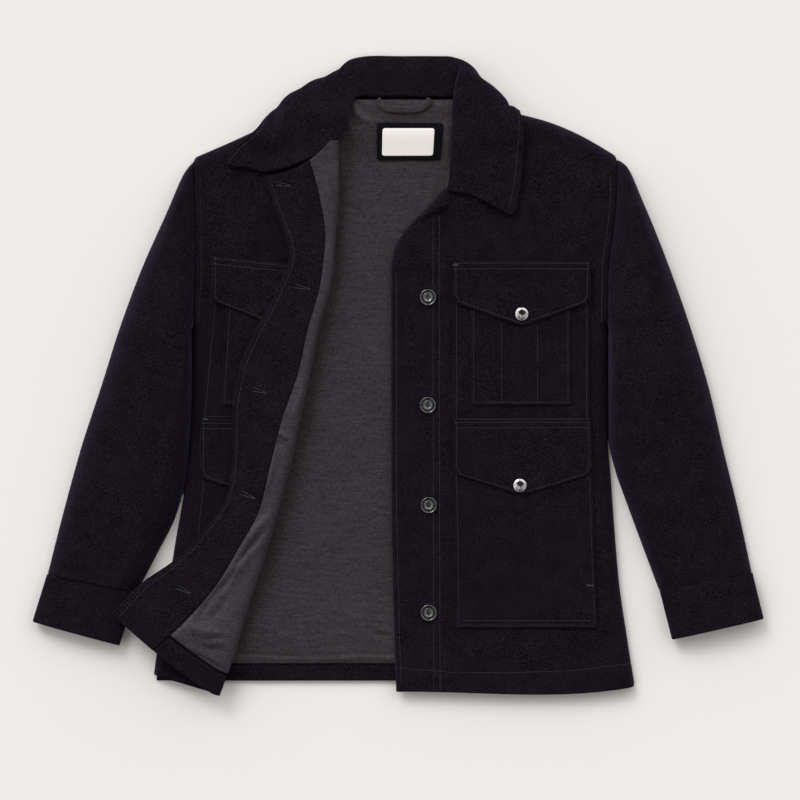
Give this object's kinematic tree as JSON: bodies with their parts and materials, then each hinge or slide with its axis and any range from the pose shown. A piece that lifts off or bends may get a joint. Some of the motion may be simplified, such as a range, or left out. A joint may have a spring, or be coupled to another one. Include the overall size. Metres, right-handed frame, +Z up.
{
  "type": "mackinaw jacket",
  "caption": "Wool mackinaw jacket lying open on its back, one front turned out, with pointed pocket flaps, turn-down collar, cuffs and shiny dark buttons.",
  "frame": {"origin": "middle of the garment's box, on the surface that it lies on", "axes": "+X across the garment towards its wearer's left, +Y from the hem to the collar, +Z up from the surface"},
  "size_m": [0.8776, 0.7678, 0.0323],
  "materials": {
    "navy_wool": "matte fulled wool with a short nap, very dark navy",
    "grey_lining": "dull satin, charcoal grey",
    "dark_tape": "dark woven tape",
    "white_tape": "woven off-white tape, bare",
    "black_buttons": "polished black plastic",
    "dark_metal": "dark polished metal"
  },
  "bodies": {
    "root": {"back": "navy_wool", "back_hem": "navy_wool", "back_lining": "grey_lining", "button_1": "black_buttons", "button_2": "black_buttons", "button_3": "black_buttons", "button_4": "black_buttons", "collar_top": "navy_wool", "collar_under": "navy_wool", "hanger_loop": "grey_lining", "label": "white_tape", "label_patch": "dark_tape", "left_chest_flap": "navy_wool", "left_chest_panel": "navy_wool", "left_chest_pocket": "navy_wool", "left_cuff": "navy_wool", "left_front": "navy_wool", "left_lower_flap": "navy_wool", "left_lower_pocket": "navy_wool", "left_sleeve_top": "navy_wool", "left_sleeve_under": "navy_wool", "right_chest_flap": "navy_wool", "right_chest_panel": "navy_wool", "right_chest_pocket": "navy_wool", "right_cuff": "navy_wool", "right_facing": "navy_wool", "right_front": "navy_wool", "right_hem": "navy_wool", "right_lining": "grey_lining", "right_lower_flap": "navy_wool", "right_lower_pocket": "navy_wool", "right_sleeve_top": "navy_wool", "right_sleeve_under": "navy_wool", "snap_chest": "dark_metal", "snap_lower": "dark_metal"}
  },
  "joints": []
}
